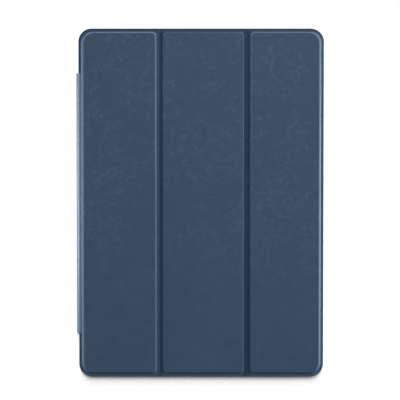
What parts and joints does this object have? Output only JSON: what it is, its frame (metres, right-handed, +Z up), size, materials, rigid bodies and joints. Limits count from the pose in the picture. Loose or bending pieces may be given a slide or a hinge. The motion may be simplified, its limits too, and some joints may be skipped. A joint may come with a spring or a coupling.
{
  "type": "tri-fold tablet case",
  "caption": "Tri-fold folio case for a tablet: clear snap-in back tray, rounded spine and a stiffened leather-look cover that folds outwards into a stand.",
  "frame": {"origin": "middle of the closed case's footprint, on the surface that its back lies on", "axes": "+Z up out of the closed cover, +Y along the spine towards the camera end, -X towards the spine"},
  "size_m": [0.1814, 0.255, 0.0126],
  "materials": {
    "clear_shell": "clear moulded polycarbonate, polished",
    "cover_skin": "fine-grained coated leather-look, satin",
    "lining": "brushed microfibre",
    "board": "pressed grey board",
    "adhesive_film": "thin milky adhesive film",
    "steel_plate": "plain strip steel",
    "magnet": "nickel-plated"
  },
  "bodies": {
    "shell": {"back_shell": "clear_shell", "flap_tape": "adhesive_film", "flap_skin": "cover_skin", "lower_hinge_skin": "cover_skin", "lower_hinge_lining": "lining"},
    "spine": {"spine_skin": "cover_skin", "spine_stiffener": "board", "spine_lining": "lining", "upper_hinge_skin": "cover_skin", "upper_hinge_lining": "lining"},
    "hinge_panel": {"hinge_panel_skin": "cover_skin", "hinge_panel_board": "board", "hinge_panel_lining": "lining", "stand_plate": "steel_plate", "fold_1_skin": "cover_skin", "fold_1_lining": "lining"},
    "middle_panel": {"middle_panel_skin": "cover_skin", "middle_panel_board": "board", "middle_panel_lining": "lining", "fold_2_skin": "cover_skin", "fold_2_lining": "lining"},
    "free_panel": {"free_panel_skin": "cover_skin", "free_panel_board": "board", "free_panel_lining": "lining", "closing_magnets": "magnet", "wake_magnet": "magnet"}
  },
  "joints": [
    {"name": "spine_hinge", "type": "hinge", "parent": "shell", "child": "spine", "pos_m": [-0.08976, 0, 0.00094], "axis": [0, -1, 0], "range_deg": [0, 180], "deforming": ["lower_hinge_skin", "lower_hinge_lining"]},
    {"name": "cover_hinge", "type": "hinge", "parent": "spine", "child": "hinge_panel", "pos_m": [-0.08944, 0, 0.01014], "axis": [0, -1, 0], "range_deg": [0, 90], "deforming": ["upper_hinge_skin", "upper_hinge_lining"]},
    {"name": "fold_1", "type": "hinge", "parent": "hinge_panel", "child": "middle_panel", "pos_m": [-0.02965, 0, 0.0114], "axis": [0, -1, 0], "range_deg": [0, 120], "deforming": ["fold_1_skin", "fold_1_lining"]},
    {"name": "fold_2", "type": "hinge", "parent": "middle_panel", "child": "free_panel", "pos_m": [0.03425, 0, 0.0114], "axis": [0, -1, 0], "range_deg": [0, 120], "deforming": ["fold_2_skin", "fold_2_lining"]}
  ]
}
